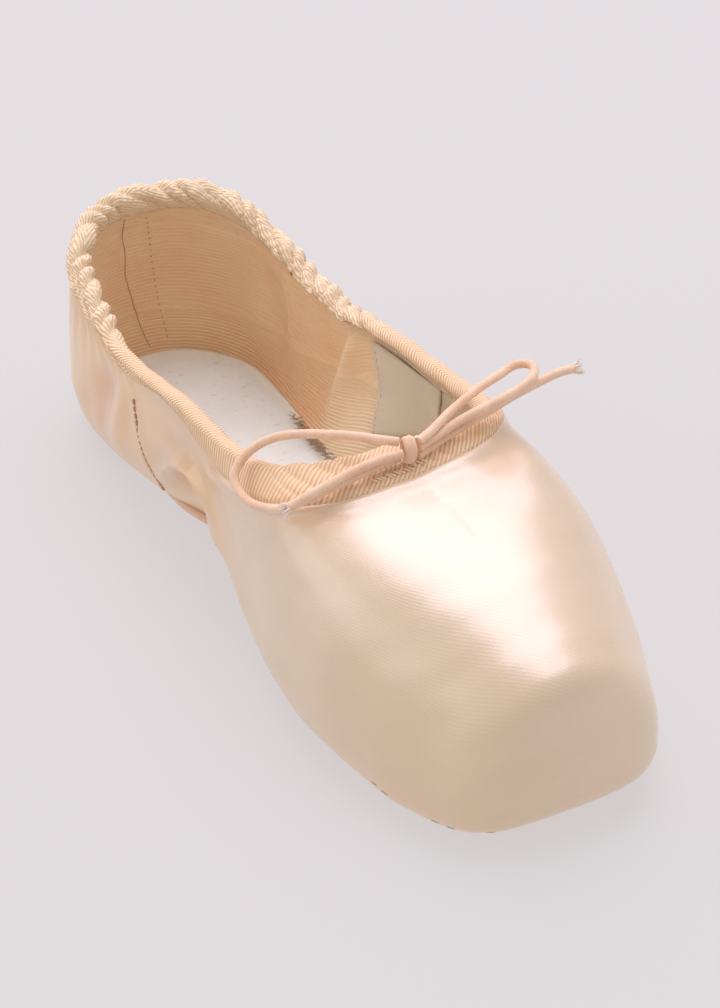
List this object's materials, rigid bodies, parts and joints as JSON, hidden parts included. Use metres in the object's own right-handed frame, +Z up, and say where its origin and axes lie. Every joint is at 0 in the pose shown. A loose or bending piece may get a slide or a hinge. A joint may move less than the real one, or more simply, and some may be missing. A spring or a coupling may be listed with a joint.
{
  "type": "pointe shoe",
  "caption": "Satin pointe shoe with a stiff flat-tipped box, taped drawstring collar tied in a bow, gathered heel and a short leather outsole.",
  "frame": {"origin": "middle of the shoe's footprint box, on the floor that the sole stands on", "axes": "+Z up from the floor, +Y along the shoe towards the heel, -Y towards the flat tip, +X across"},
  "size_m": [0.0891, 0.232, 0.0691],
  "materials": {
    "satin": "peach shoe satin with a soft sheen",
    "tape": "matt cotton twill tape",
    "sole_leather": "smooth pale leather with a raw edge",
    "insole": "pale grey suede sock",
    "cord": "round covered elastic"
  },
  "bodies": {
    "root": {"upper": "satin", "binding": "tape", "outsole": "sole_leather", "insole": "insole", "knot": "cord", "loop_left": "cord", "end_left": "cord", "loop_right": "cord", "end_right": "cord"}
  },
  "joints": []
}
